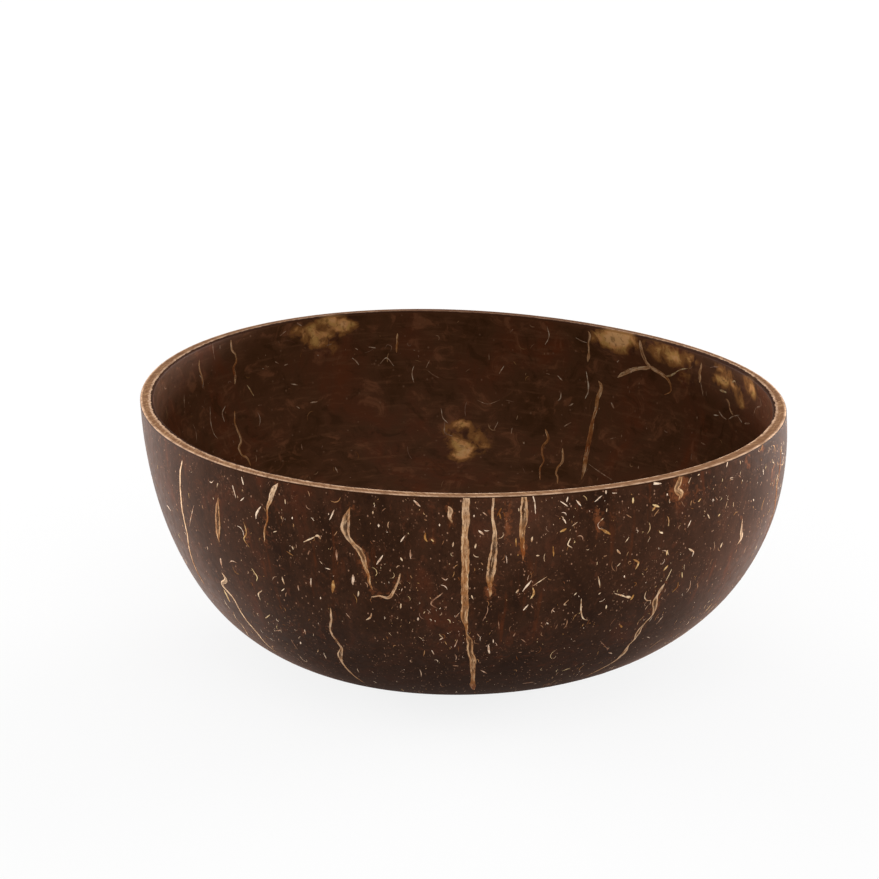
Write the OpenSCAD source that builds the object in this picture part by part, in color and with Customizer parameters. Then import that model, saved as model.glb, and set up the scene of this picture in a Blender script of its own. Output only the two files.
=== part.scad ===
// Coconut shell bowl: the lower part of a coconut's hard shell, sawn level,
// sanded and polished. The foot is ground flat, and the fibre strands that run
// through the shell lie flush in grooves in its outer and inner faces.
// Z is up, and the origin is the centre of the ground foot.

/* [Rim] */
// Longest width of the rim
rim_long = 152; // [120:1:190]
// Shortest width of the rim
rim_short = 140; // [110:1:180]
// Turn of the longest width from the X axis, in degrees
oval_turn = -33; // [-90:1:90]
// Swell of the shell's three seams out of the oval
seam_rise = 1.3; // [0:0.1:3]
// Turn of the first seam from the X axis, in degrees
seam_turn = -7; // [-60:1:60]
// Rounding of the rim's two edges
rim_ease = 0.4; // [0.2:0.1:0.9]

/* [Bowl] */
// Height from the foot to the rim
bowl_h = 62; // [45:1:80]
// Height of the upright band under the rim
band_h = 3.5; // [2:0.5:10]
// Depth ground off the end of the shell to make the foot
foot_grind = 1; // [0.4:0.1:3]
// Fullness of the lower wall: 2 is an ellipse, and more is squarer
fullness = 3.2; // [2:0.1:4]
// Shift of the rim's centre from the foot's centre
rim_shift = 1.6; // [0:0.1:4]
// Shift of the belly's centre, half way up
belly_shift = 1.7; // [0:0.1:4]

/* [Wall] */
// Mean thickness of the wall at the rim
wall = 2.9; // [2:0.1:5]
// Extra thickness at the two sides, and lack of it at front and back
wall_swing = 0.2; // [0:0.05:0.5]
// Thickness of the floor over the foot
floor_t = 3; // [2:0.1:6]

/* [Strands] */
// Width of the widest strand in the outer face
strand_w = 1.6; // [0.8:0.1:2.4]
// Width of the widest vein in the inner face
vein_w = 1.4; // [0.8:0.1:2.2]
// Longest straight run of a strand
strand_step = 7; // [4:0.5:9]

/* [Hidden] */

// Counts that set how finely the shell is drawn
seg = 80;
outer_rings = 12;
inner_rings = 11;
ease_steps = 2;
bundle_sides = 6;

// Height at which the wall turns upright
belly_z = bowl_h - band_h;

// Strands in the outer face. Each point is an azimuth in degrees, a share of
// bowl_h and a share of strand_w, from the strand's upper end to its lower end.
outer_strand_shares = [
    // Front, from left to right
    [[212.3, 0.955, 0.3], [210, 0.83, 0.35], [208.4, 0.65, 0.4], [206.2, 0.55, 0.35], [206, 0.43, 0.3]],
    [[222.7, 0.87, 0.3], [221.6, 0.79, 1], [220.7, 0.72, 0.8], [220.5, 0.675, 0.3]],
    [[218.8, 0.545, 0.5], [216.7, 0.487, 0.6], [219.2, 0.4, 0.4], [221.4, 0.21, 0.3]],
    [[237.5, 0.985, 0.35], [236.2, 0.94, 0.75], [234.7, 0.87, 0.4], [233, 0.75, 0.3]],
    [[251.3, 0.94, 0.3], [250.2, 0.86, 1], [252.2, 0.785, 0.75], [253.3, 0.7, 0.45], [254, 0.625, 0.3]],
    [[253.5, 0.595, 0.3], [257, 0.605, 0.55], [258, 0.635, 0.45], [259.4, 0.705, 0.3]],
    [[245, 0.525, 0.3], [243.8, 0.43, 0.4], [245.2, 0.345, 0.45], [244, 0.29, 0.8], [246.2, 0.14, 0.3]],
    [[268.9, 0.965, 0.7], [268.6, 0.905, 0.5]],
    [[271.6, 1, 0.9], [271, 0.8, 1], [270.7, 0.6, 0.95], [270.8, 0.53, 0.9], [271.9, 0.425, 0.75],
        [273.9, 0.245, 0.7], [275.4, 0.14, 0.4]],
    [[276.3, 1, 0.3], [276.2, 0.86, 0.55], [275.4, 0.73, 1], [275.2, 0.665, 0.65], [275.2, 0.615, 0.3]],
    [[281.5, 1, 0.6], [281.2, 0.91, 1], [280.8, 0.84, 0.65], [280.9, 0.755, 0.3]],
    [[308.7, 0.59, 0.3], [307.8, 0.53, 0.7], [308.5, 0.47, 0.5], [307.6, 0.28, 0.5], [304.6, 0.155, 0.3]],
    [[310.3, 1, 0.6], [309.8, 0.95, 1], [309.8, 0.915, 0.35]],
    [[326.2, 0.755, 0.35], [326.8, 0.675, 0.6]],
    // Right side, back and left side
    [[341.5, 0.92, 0.3], [340, 0.8, 0.7], [342, 0.66, 0.6], [341, 0.56, 0.3]],
    [[355, 0.7, 0.3], [356, 0.55, 0.5], [354.5, 0.41, 0.5], [355, 0.26, 0.3]],
    [[12, 1, 0.5], [13, 0.84, 0.8], [11.5, 0.72, 0.6], [12, 0.62, 0.3]],
    [[34, 0.86, 0.3], [35.5, 0.7, 0.7], [33.5, 0.54, 0.6], [35, 0.4, 0.3]],
    [[58, 0.97, 0.5], [57, 0.86, 0.9], [58.5, 0.73, 0.3]],
    [[75, 0.62, 0.3], [76.5, 0.46, 0.6], [75, 0.3, 0.5], [76, 0.18, 0.3]],
    [[98, 1, 0.7], [97, 0.82, 0.9], [98.5, 0.62, 0.8], [97.5, 0.46, 0.6], [99, 0.34, 0.3]],
    [[122, 0.9, 0.4], [123, 0.78, 0.8], [122, 0.66, 0.3]],
    [[140, 0.58, 0.3], [141.5, 0.44, 0.6], [139.5, 0.3, 0.5], [140, 0.18, 0.3]],
    [[160, 1, 0.5], [159, 0.86, 0.7], [160.5, 0.7, 0.3]],
    [[181, 0.8, 0.3], [180, 0.66, 0.7], [182, 0.54, 0.6], [181, 0.42, 0.3]]
];

// Veins in the inner face. Each point is an azimuth in degrees, a share of
// bowl_h and a share of vein_w.
inner_vein_shares = [
    // Back, from left to right
    [[149, 0.955, 0.3], [148.5, 0.85, 0.5]],
    [[138.5, 0.98, 0.35], [138.5, 0.9, 0.6], [139.5, 0.8, 0.35]],
    [[140.5, 0.7, 0.35], [141, 0.6, 0.5], [142, 0.55, 0.5], [140.5, 0.49, 0.35]],
    [[102, 0.91, 0.35], [102.5, 0.83, 0.45]],
    [[70.5, 0.58, 0.35], [69, 0.53, 0.55], [70, 0.48, 0.55], [68.5, 0.37, 0.35]],
    [[65, 0.53, 0.35], [64, 0.46, 0.5], [63.5, 0.37, 0.35]],
    [[60, 0.98, 0.35], [60.5, 0.85, 0.5]],
    [[58, 0.78, 0.7], [58, 0.7, 1], [59, 0.61, 0.85], [58.5, 0.52, 0.7], [57.5, 0.4, 0.35]],
    // The forked vein under the rim
    [[47, 0.985, 0.5], [46, 0.94, 0.7], [44.5, 0.89, 0.9], [49.5, 0.85, 1], [53, 0.81, 0.45]],
    [[44.5, 0.89, 0.9], [41, 0.875, 0.9], [38.5, 0.84, 0.7], [40.5, 0.78, 0.35]],
    [[29.5, 0.965, 0.35], [30.5, 0.88, 0.6]],
    [[21, 0.86, 0.5], [18, 0.8, 0.45]],
    // Left side, front and right side
    [[180, 0.85, 0.35], [181, 0.7, 0.7], [179.5, 0.56, 0.35]],
    [[206.5, 0.91, 0.35], [205, 0.75, 0.7], [207, 0.6, 0.35]],
    [[233, 0.96, 0.5], [232, 0.82, 0.8], [234.5, 0.7, 0.35]],
    [[262, 0.8, 0.35], [261, 0.65, 0.7], [262.5, 0.5, 0.35]],
    [[290, 0.95, 0.4], [291, 0.8, 0.7], [289.5, 0.65, 0.35]],
    [[318, 0.75, 0.35], [319, 0.58, 0.7], [317.5, 0.42, 0.35]],
    [[346, 0.9, 0.35], [345.5, 0.75, 0.7], [346.5, 0.62, 0.35]]
];

// Radius of the rim's outer edge: an oval with three low seams
function plan_r(a) =
    (rim_long + rim_short) / 4
    + (rim_long - rim_short) / 4 * cos(2 * (a - oval_turn))
    + seam_rise * cos(3 * (a - seam_turn));

// Thickness of the wall at the rim
function wall_at(a) = wall + wall_swing * cos(2 * a);

// Share of the rim's radius that a face has at height z, when its end is at pole_z
function profile_share(z, pole_z) =
    pow(1 - pow(max(0, belly_z - z) / (belly_z - pole_z), 2), 1 / fullness);

// Centre of the level section at height z
function centre_x(z) = rim_shift * z / bowl_h + belly_shift * sin(180 * z / bowl_h);

// Point at azimuth a, distance r from the section's centre and height z
function at(a, r, z) = [centre_x(z) + r * cos(a), r * sin(a), z];

// Points on the outer and the inner face
function outer_point(a, z) = at(a, plan_r(a) * profile_share(z, -foot_grind), z);
function inner_point(a, z) = at(a, (plan_r(a) - wall_at(a)) * profile_share(z, floor_t), z);

// Heights of the rings, spread evenly round the curve of each face
foot_angle = asin(belly_z / (belly_z + foot_grind));
outer_z = [for (i = [0 : outer_rings])
    belly_z - (belly_z + foot_grind) * sin(foot_angle * (1 - i / outer_rings))];
inner_z = [for (i = [0 : inner_rings - 1])
    belly_z - (belly_z - floor_t) * sin(90 * i / inner_rings)];

// The rim's rounded edges: how far in and how far down each ring lies
ease_turns = [for (i = [0 : ease_steps]) 90 * i / ease_steps];

// Rings from the foot up the outer face, over the rim and down the inner face
rings = concat(
    [for (z = outer_z) [for (j = [0 : seg - 1]) outer_point(360 * j / seg, z)]],
    [for (t = ease_turns) [for (j = [0 : seg - 1])
        let (a = 360 * j / seg)
        at(a, plan_r(a) - rim_ease * (1 - cos(t)), bowl_h - rim_ease * (1 - sin(t)))]],
    [for (t = ease_turns) [for (j = [0 : seg - 1])
        let (a = 360 * j / seg)
        at(a, plan_r(a) - wall_at(a) + rim_ease * (1 - sin(t)), bowl_h - rim_ease * (1 - cos(t)))]],
    [for (z = inner_z) [for (j = [0 : seg - 1]) inner_point(360 * j / seg, z)]]
);

// The plain wall: foot, outer face, rim, inner face and floor, without grooves
module wall_form() {
    points = concat([for (ring = rings) each ring], [inner_point(0, floor_t)]);
    pole = len(points) - 1;
    last = (len(rings) - 1) * seg;
    sides = [for (i = [0 : len(rings) - 2]) for (j = [0 : seg - 1])
        let (
            low = i * seg + j,
            low_next = i * seg + (j + 1) % seg,
            high = low + seg,
            high_next = low_next + seg
        )
        each [[low, high, high_next], [low, high_next, low_next]]];
    foot = [[for (j = [0 : seg - 1]) j]];
    floor_fan = [for (j = [0 : seg - 1]) [last + j, pole, last + (j + 1) % seg]];
    polyhedron(points = points, faces = concat(sides, foot, floor_fan));
}

// Point of a strand on the outer face, or of a vein on the inner face
function strand_point(spot, inside) =
    inside ? inner_point(spot[0], spot[1] * bowl_h) : outer_point(spot[0], spot[1] * bowl_h);

// A strand's spots, with more of them put in so that no straight run is too long
function strand_run(spots, inside) = concat(
    [for (i = [0 : len(spots) - 2])
        let (
            run = norm(strand_point(spots[i + 1], inside) - strand_point(spots[i], inside)),
            count = max(1, ceil(run / strand_step))
        )
        for (k = [0 : count - 1]) spots[i] + (spots[i + 1] - spots[i]) * k / count],
    [spots[len(spots) - 1]]
);

// Round fibre bundle along the spots, centred on the face
module strand(spots, width, inside) {
    run = strand_run(spots, inside);
    for (i = [0 : len(run) - 2])
        hull()
            for (spot = [run[i], run[i + 1]])
                translate(strand_point(spot, inside))
                    sphere(d = spot[2] * width, $fn = bundle_sides);
}

module all_outer_strands() {
    for (spots = outer_strand_shares) strand(spots, strand_w, false);
}

module all_inner_veins() {
    for (spots = inner_vein_shares) strand(spots, vein_w, true);
}

// Half shell with a sawn rim, a ground foot and a groove for each strand
module shell() {
    color("#3f2a20")
        difference() {
            wall_form();
            all_outer_strands();
            all_inner_veins();
        }
}

// Fibre strands, sanded flush with the outer face
module outer_strands() {
    color("#c79a62")
        intersection() {
            wall_form();
            all_outer_strands();
        }
}

// Fibre veins, sanded flush with the inner face
module inner_veins() {
    color("#b07a48")
        intersection() {
            wall_form();
            all_inner_veins();
        }
}

shell();
outer_strands();
inner_veins();
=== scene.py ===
"""Coconut shell bowl: its looks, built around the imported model.

The bowl's sizes are written in millimetres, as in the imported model, and MM turns them into metres.
An azimuth of 0 is the +X side, and 270 degrees is the side that faces the camera.
"""

import math

import bpy
import numpy as np
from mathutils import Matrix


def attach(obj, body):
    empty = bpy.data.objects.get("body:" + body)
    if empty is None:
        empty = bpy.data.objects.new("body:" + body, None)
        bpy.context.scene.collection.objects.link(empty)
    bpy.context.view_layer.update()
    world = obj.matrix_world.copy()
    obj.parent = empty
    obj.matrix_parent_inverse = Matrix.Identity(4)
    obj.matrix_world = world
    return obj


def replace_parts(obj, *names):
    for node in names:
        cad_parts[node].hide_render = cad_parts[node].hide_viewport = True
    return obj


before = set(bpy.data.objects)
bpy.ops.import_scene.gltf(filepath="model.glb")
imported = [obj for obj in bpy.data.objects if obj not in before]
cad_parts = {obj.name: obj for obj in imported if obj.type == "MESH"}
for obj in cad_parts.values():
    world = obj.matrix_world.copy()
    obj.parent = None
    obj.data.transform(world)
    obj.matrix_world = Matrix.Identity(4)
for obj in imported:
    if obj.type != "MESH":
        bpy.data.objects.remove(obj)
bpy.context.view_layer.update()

MM = 0.001

# Sizes of the bowl: the rim, the height, the foot, how full the lower wall is and how far the sections shift
# aside, the wall and the floor, the widest strand and vein, and the unevenness left by sanding
RIM_LONG = 152
RIM_SHORT = 140
OVAL_TURN = math.radians(-33)
SEAM_RISE = 1.3
SEAM_TURN = math.radians(-7)
RIM_EASE = 0.4
BOWL_H = 62
BAND_H = 3.5
FOOT_GRIND = 1
FOOT_EASE = 0.25
FULLNESS = 3.2
RIM_SHIFT = 1.6
BELLY_SHIFT = 1.7
WALL = 2.9
WALL_SWING = 0.2
FLOOR_T = 3
STRAND_W = 1.6
VEIN_W = 1.4
RELIEF_H = 0.045
MEAN_R = (RIM_LONG + RIM_SHORT) / 4
BELLY_Z = BOWL_H - BAND_H

# How finely the shell is drawn
COLUMNS = 480
OUTER_ROWS = 96
INNER_ROWS = 74
BAND_ROWS = 6
EASE_ROWS = 7
LIP_ROWS = 5
FOOT_ROWS = 8
FIRST_FOOT_ROW = 0.06
AROUND = np.arange(COLUMNS) * math.tau / COLUMNS

# The photograph's camera: its distance from the middle of the bowl, its height angle, how it is turned, and
# its focal length in pixels of the square picture. RAY_STEP is how finely a pixel's ray is followed.
PICTURE = 879
CAMERA_DISTANCE = 800
CAMERA_HEIGHT_ANGLE = math.radians(19.6)
CAMERA_DOWN_ANGLE = math.radians(18.219)
CAMERA_TURN = math.radians(0.164)
FOCAL_PIXELS = 3417.9
SENSOR = 36
RAY_STEP = 0.05
CAMERA_PLACE = np.array([0, -math.cos(CAMERA_HEIGHT_ANGLE) * CAMERA_DISTANCE,
                         math.sin(CAMERA_HEIGHT_ANGLE) * CAMERA_DISTANCE + BOWL_H / 2])

# Light from all round, and the lamps with their power and place: two boxes behind the bowl and a soft sky
# over its front. In this paragraph lengths are in metres.
ROOM_LIGHT = 0.72
LAMPS = (("left_box", "AREA", 54, (-1.22, 0.85, 0.12)), ("right_box", "AREA", 62, (1.22, 0.85, 0.12)),
         ("soft_sky", "SUN", 0.94, (0.15, -1.2, 1.4)))
BOX_SIZE = (0.9, 0.22)
SKY_ANGLE = math.radians(60)
LAMP_TARGET = (0, 0, 0.03)
FLOOR_HALF = 6

# Gloss of the shell, the height under which the outside darkens with painted shade and grows duller, most on
# one side, the stain beside the strands and how far it reaches, and how far apart the parts lie in their
# pattern, so that none repeats
SHELL_GLOSS = 0.03
INNER_GLOSS = 0.02
SHEEN = 0.12
SHADE_AND_DULL_H = 26
SHADE_AND_DULL_SWING = 0.5
SHADE_AND_DULL_TURN = math.radians(305)
HALO = 0.4
HALO_REACH = 1.6
GRAIN_LIFT = {"outer": 0, "rim": 400, "inner": 800}

# Places across a strip, in half widths, and their heights over the face. A strip that starts above
# RIM_REACH of the bowl's height is cut off by the rim.
STRAND_SHAPE = ((-1.25, -1.1, -0.92, -0.7, -0.48, -0.25, 0, 0.25, 0.48, 0.7, 0.92, 1.1, 1.25),
                (-0.03, 0.008, 0.035, 0.05, 0.035, 0.045, 0.025, 0.045, 0.035, 0.05, 0.035, 0.008, -0.03))
MARK_SHAPE = ((-1.15, -0.7, 0, 0.7, 1.15), (-0.02, 0.02, 0.035, 0.02, -0.02))
FLECK_SHAPE = ((-1.1, 0, 1.1), (-0.02, 0.03, -0.02))
RIM_REACH = 0.99

# Share of its width in the table that a shown fibre gets, and its least width in pixels
MARK_SHARE = 0.76
MARK_LEAST = 0.85

# Kinds of random small fibres: share of all, and their length and width in mm, least and most. They gather
# in loose clusters, and lie thickest round DENSE_TURN and on the side across from it.
OUTER_KINDS = [(0.6, 0.22, 0.55, 0.14, 0.28), (0.33, 0.55, 1.7, 0.12, 0.28), (0.07, 1.7, 3.3, 0.14, 0.32)]
INNER_KINDS = [(0.5, 0.3, 0.7, 0.2, 0.4), (0.4, 0.7, 2, 0.2, 0.4), (0.1, 2, 4, 0.2, 0.4)]
CLUSTERS = 80
CLUSTER_SPREAD = 5
DENSE_TURN = math.radians(302)


def rows_of(text):
    """Rows of numbers, from text with a comma between rows."""
    return [[float(word) for word in row.split()] for row in text.split(",")]


# The bare tan lip round the rim: azimuth, width from the outer edge in mm, and how dark it is
LIP = rows_of("""
0 2.4 .1, 20 1.75 .15, 40 2 .3, 60 2.15 .7, 90 2.3 .9, 112 1.85 .6, 135 2.15 .35, 165 2.65 .1, 190 2.35 0,
240 2.35 0, 280 2.6 0, 325 3.05 0, 345 2.65 0, 360 2.4 .1""")

# Strands in the outer face: azimuth in degrees, share of the bowl's height, share of the widest strand's
# width, tone from 0, orange-brown, to 1, pale, and how dark the fibres in the middle are. The first ones are
# those that the photograph shows.
STRANDS_SHOWN = 14
OUTER_STRANDS = [rows_of(strand) for strand in """
212.3 .953 .28 .95 0, 210.8 .892 .34 .95 0, 210 .829 .34 .95 0, 208.9 .732 .36 .9 0, 208.4 .65 .35 .9 0,
206.2 .548 .32 .8 0, 205.6 .469 .29 .7 0, 206.3 .421 .23 .7 0;
222.7 .869 .22 .6 0, 221.8 .808 .88 .6 .9, 221.5 .773 1.02 .65 1, 220.7 .718 .82 .6 .7, 220.5 .682 .29 .6 0;
218.3 .547 .29 .9 0, 219 .526 .6 1 .6, 216.7 .487 .5 1 .5, 218.8 .445 .36 .95 0, 219.4 .36 .34 .95 0,
220.6 .3 .42 .95 .4, 220.9 .221 .28 .9 0, 221.5 .2 .22 .8 0;
237.5 .987 .29 .9 0, 236.5 .96 .73 1 .1, 235.6 .921 .66 .9 .2, 234.7 .882 .32 .4 0, 234.5 .848 .24 .15 0,
233.3 .781 .3 .5 0, 233 .75 .22 .4 0;
251.3 .94 .29 .4 0, 250.4 .895 1.02 .8 1, 250.1 .856 1.25 .85 1, 250.4 .827 .73 .8 .8,
251.1 .808 .58 .75 .4, 252.4 .779 .88 .7 .8, 252.9 .745 .73 .7 .6, 253.2 .715 .58 .6 .4,
253.5 .684 .37 .2 0, 253.5 .661 .44 .5 0, 254 .627 .22 .1 0;
253.5 .597 .22 .8 0, 255.2 .606 .22 .8 0, 256.8 .602 .42 .8 .2, 257.8 .627 .36 .75 .2, 258.7 .663 .27 .8 0,
259.4 .705 .2 .8 0;
245 .527 .22 .8 0, 244.6 .473 .3 .85 0, 243.8 .429 .28 .85 0, 244.4 .381 .34 .8 0, 245.2 .342 .4 .8 .3,
244.1 .303 .75 .85 1, 243.9 .276 .4 .8 0, 244.5 .21 .26 .7 0, 246.2 .139 .2 .5 0;
268.5 .966 .55 .8 .2, 268.9 .95 .8 .85 .6, 268.7 .93 .5 .8 .2, 269 .905 .5 .7 0;
271.7 .998 .88 .9 .2, 271.5 .96 1.02 .8 .3, 271.4 .913 1.02 .75 .2, 271.1 .871 .79 .7 .2, 271 .81 1.1 .6 .3,
271 .776 1.05 .6 .2, 270.8 .698 .95 .5 .1, 270.7 .647 .95 .5 .2, 270.8 .594 .95 .5 .3, 270.7 .537 .95 .5 .7,
271.2 .485 .37 .4 0, 271.3 .463 .2 .4 0, 271.9 .431 .76 .6 .9, 272.4 .371 .79 .6 .9, 273.1 .332 .88 .6 .6,
273.4 .29 .73 .6 .5, 274.2 .211 .58 .4 .2, 274.4 .19 .75 .2 .3, 275.4 .142 .6 .1 0;
276.3 .997 .29 .9 0, 276 .95 .29 .9 0, 276 .911 .37 .85 0, 276.2 .856 .58 .8 .6, 276 .821 .8 .8 1,
275.6 .755 1.15 .75 1, 275.4 .729 1.15 .75 1, 275.2 .698 1.02 .7 .8, 275.2 .671 .73 .2 .2,
275.2 .648 .44 .2 0, 275.3 .637 .58 .6 0, 275.2 .618 .22 .1 0;
281.5 .995 .7 .8 .6, 281.4 .955 1.02 .75 1, 281.3 .923 1.02 .7 1, 281 .885 .88 .6 .5, 280.8 .85 .67 .5 .1,
280.9 .815 .58 .1 0, 281 .784 .5 .05 0, 280.9 .758 .23 0 0;
308.7 .592 .23 .9 0, 308.2 .569 .6 .9 .7, 307.8 .545 .3 .9 0, 307.7 .524 .85 .8 .9, 308.3 .49 .7 .8 .8,
308.6 .465 .35 .85 0, 307.5 .418 .26 .85 0, 307.3 .376 .75 .85 .9, 307.5 .352 .3 .85 0, 307.2 .319 .22 .8 0,
307.6 .289 .65 .8 .8, 307.6 .24 .3 .85 0, 305.7 .189 .23 .7 0, 304.6 .155 .2 .6 0;
310.3 .995 .58 .6 .2, 309.9 .975 .9 .6 .7, 309.3 .955 .8 .65 .8, 310.2 .93 1 .5 .6, 309.7 .91 .29 .3 0;
326 .755 .24 .9 0, 326.4 .7 .55 1 .5, 326.9 .673 .7 1 .3, 326.1 .653 .3 .9 0;
341.5 .92 .2 .3 0, 340 .8 .4 .2 .6, 342 .66 .35 .2 .6, 341 .56 .2 .1 0;
355 .7 .3 .8 0, 356 .55 .5 .7 .4, 354.5 .41 .5 .6 .7, 355 .26 .3 .5 0;
12 1 .5 .9 .2, 13 .84 .85 .7 .9, 11.5 .72 .6 .5 .5, 12 .62 .3 0 0;
34 .86 .3 .8 0, 35.5 .7 .7 .7 .8, 33.5 .54 .6 .7 .5, 35 .4 .3 .5 0;
58 .97 .5 .9 .2, 57 .86 .95 .7 1, 58.5 .73 .3 .1 0;
75 .62 .3 .8 0, 76.5 .46 .6 .7 .6, 75 .3 .5 .6 .4, 76 .18 .3 .5 0;
98 1 .75 .9 .3, 97 .82 1 .7 .4, 98.5 .62 .85 .5 .8, 97.5 .46 .6 .6 .8, 99 .34 .3 .2 0;
122 .9 .4 .8 0, 123 .78 .85 .7 1, 122 .66 .3 .6 0;
140 .58 .3 .8 0, 141.5 .44 .6 .7 .5, 139.5 .3 .5 .6 .7, 140 .18 .3 .5 0;
160 1 .5 .9 .2, 159 .86 .75 .6 .8, 160.5 .7 .3 .1 0;
181 .8 .3 .8 0, 180 .66 .75 .7 .8, 182 .54 .6 .6 .4, 181 .42 .3 .3 0""".split(";")]

# Veins in the inner face, in the same form
VEINS_SHOWN = 12
INNER_VEINS = [rows_of(strand) for strand in """
148.9 .958 .3 .6 0, 149.1 .92 .45 .5 .2, 148.6 .88 .35 .3 0, 148.6 .85 .35 .4 0;
138.7 .985 .28 .6 0, 138.6 .942 .4 .6 0, 137.8 .918 .35 .6 0, 137.8 .889 .42 .3 0, 138.7 .869 .5 0 0,
138.6 .834 .55 .05 .2, 139 .803 .32 .5 0;
140.4 .705 .28 .2 0, 141.1 .66 .38 .4 0, 140.8 .619 .4 .6 0, 140.7 .587 .45 .6 0, 142 .563 .42 .5 0,
141.7 .539 .35 .4 0, 140.4 .52 .42 .5 0, 140.2 .49 .38 .4 0;
102 .91 .35 .3 0, 102.5 .83 .4 .3 0;
69.9 .56 .32 .3 0, 68.8 .524 .5 .3 0, 69.9 .492 .45 .2 0, 69.5 .463 .4 .1 0, 68.9 .445 .3 .2 0,
69.4 .42 .28 .1 0, 68.7 .375 .25 .1 0;
64.8 .5 .3 .5 0, 64.1 .45 .45 .5 0, 65 .426 .35 .4 0, 65 .41 .35 .4 0, 64.2 .395 .38 .5 0,
63.8 .373 .32 .4 0;
60.3 .98 .28 .6 0, 59.9 .965 .4 .6 0, 60.2 .932 .35 .6 0, 60.3 .895 .35 .6 0, 60.5 .862 .55 .6 0,
60.6 .85 .25 .6 0;
57.9 .782 .5 .5 0, 57.1 .765 .7 .5 0, 57.3 .735 .8 .4 .1, 57.8 .706 .75 .4 0, 57.9 .665 .65 .2 0,
58.3 .629 .6 .15 0, 58.4 .595 .85 .2 0, 58.3 .563 .9 .15 0, 58.4 .529 .9 0 0, 58.3 .503 .85 0 .2,
58.1 .474 .85 .2 0, 57.9 .45 .8 .5 0, 57.7 .424 .55 .6 0, 57.6 .403 .45 .4 0;
47 .985 .6 .5 .3, 46.5 .937 .7 .6 .4, 45.5 .9 .6 .6 0, 44.7 .887 .65 .6 0, 47.6 .866 .65 .7 0,
50.3 .844 .8 .7 0, 52.1 .823 .6 .4 .6, 53 .811 .5 .8 0;
44.7 .887 .65 .6 0, 42.9 .876 .75 .6 0, 41 .866 .65 .5 0, 39.5 .852 .5 .4 0, 38.7 .834 .42 .3 0,
38.4 .815 .3 .3 0, 40.3 .787 .24 .2 0;
29.5 .965 .42 .6 0, 29.7 .94 .5 .6 0, 30.2 .918 .6 .5 .2, 30.1 .898 .65 .6 0, 30.2 .88 .5 .6 0;
21.6 .86 .5 .6 0, 20.4 .85 .4 .6 0, 19.8 .828 .34 .6 0, 18.4 .81 .4 .6 0;
180 .85 .35 .5 0, 181 .7 .7 .5 .3, 179.5 .56 .35 .3 0;
206.5 .91 .35 .5 0, 205 .75 .7 .5 .4, 207 .6 .35 .3 0;
233 .96 .5 .6 0, 232 .82 .8 .5 .3, 234.5 .7 .35 0 0;
262 .8 .35 .5 0, 261 .65 .7 .4 .3, 262.5 .5 .35 .1 0;
290 .95 .4 .6 0, 291 .8 .7 .3 .2, 289.5 .65 .35 .1 0;
318 .75 .35 .5 0, 319 .58 .7 .4 .3, 317.5 .42 .35 .3 0;
346 .9 .35 .5 0, 345.5 .75 .7 .4 .4, 346.5 .62 .35 .3 0""".split(";")]

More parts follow.
